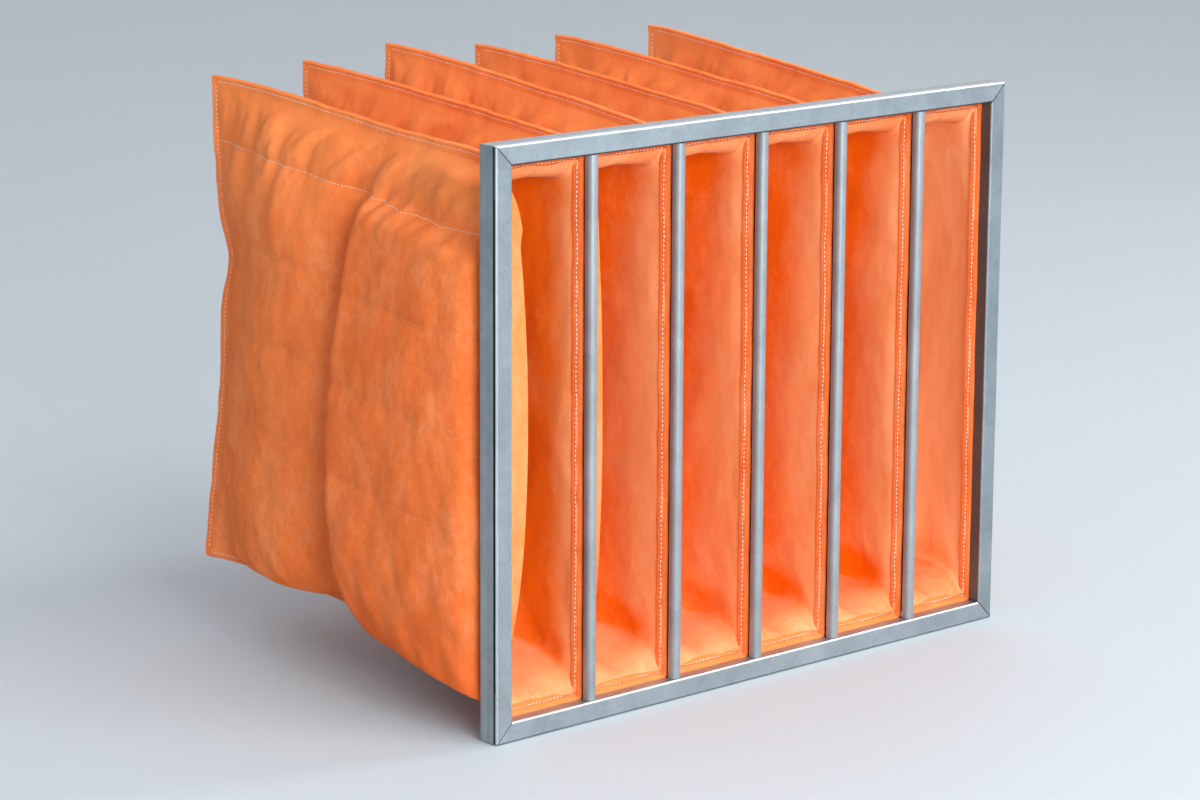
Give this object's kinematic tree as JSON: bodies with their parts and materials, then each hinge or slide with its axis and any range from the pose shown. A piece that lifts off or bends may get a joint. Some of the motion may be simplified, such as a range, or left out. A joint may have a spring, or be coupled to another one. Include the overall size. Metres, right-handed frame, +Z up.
{
  "type": "bag air filter",
  "caption": "Ventilation bag filter: a flat galvanised steel header with upright separator bars, holding a row of deep sewn cloth pockets that are open at the front.",
  "frame": {"origin": "on the floor under the middle of the header's lower member, halfway through the header's depth", "axes": "+X along the header to the right as seen from the open front, +Y back through the pockets, +Z up"},
  "size_m": [0.6075, 0.44, 0.51],
  "materials": {
    "galvanised_steel": "folded galvanised sheet, blue-grey, half matt, faintly mottled",
    "bar_steel": "folded galvanised sheet, smoother than the header",
    "inner_steel": "galvanised sheet, darker and duller than the header",
    "filter_cloth": "orange nonwoven filter cloth, matt, blotchy and lightly wrinkled",
    "web_cloth": "paler orange nonwoven cloth, matt"
  },
  "bodies": {
    "root": {"header_left": "galvanised_steel", "clamp_strip_left": "inner_steel", "header_right": "galvanised_steel", "clamp_strip_right": "inner_steel", "header_bottom": "galvanised_steel", "clamp_strip_bottom": "inner_steel", "header_top": "galvanised_steel", "clamp_strip_top": "inner_steel", "corner_angle_lower_left": "inner_steel", "corner_angle_lower_right": "inner_steel", "corner_angle_upper_left": "inner_steel", "corner_angle_upper_right": "inner_steel", "corner_rivet_left": "inner_steel", "corner_rivet_right": "inner_steel", "separator_bar_1": "bar_steel", "separator_bar_2": "bar_steel", "separator_bar_3": "bar_steel", "separator_bar_4": "bar_steel", "separator_bar_5": "bar_steel", "pocket_1_left_wall": "filter_cloth", "pocket_1_right_wall": "filter_cloth", "pocket_1_web_1": "web_cloth", "pocket_1_web_2": "web_cloth", "pocket_1_web_3": "web_cloth", "pocket_1_web_4": "web_cloth", "pocket_2_left_wall": "filter_cloth", "pocket_2_right_wall": "filter_cloth", "pocket_2_web_1": "web_cloth", "pocket_2_web_2": "web_cloth", "pocket_2_web_3": "web_cloth", "pocket_2_web_4": "web_cloth", "pocket_3_left_wall": "filter_cloth", "pocket_3_right_wall": "filter_cloth", "pocket_3_web_1": "web_cloth", "pocket_3_web_2": "web_cloth", "pocket_3_web_3": "web_cloth", "pocket_3_web_4": "web_cloth", "pocket_4_left_wall": "filter_cloth", "pocket_4_right_wall": "filter_cloth", "pocket_4_web_1": "web_cloth", "pocket_4_web_2": "web_cloth", "pocket_4_web_3": "web_cloth", "pocket_4_web_4": "web_cloth", "pocket_5_left_wall": "filter_cloth", "pocket_5_right_wall": "filter_cloth", "pocket_5_web_1": "web_cloth", "pocket_5_web_2": "web_cloth", "pocket_5_web_3": "web_cloth", "pocket_5_web_4": "web_cloth", "pocket_6_left_wall": "filter_cloth", "pocket_6_right_wall": "filter_cloth", "pocket_6_web_1": "web_cloth", "pocket_6_web_2": "web_cloth", "pocket_6_web_3": "web_cloth", "pocket_6_web_4": "web_cloth"}
  },
  "joints": []
}
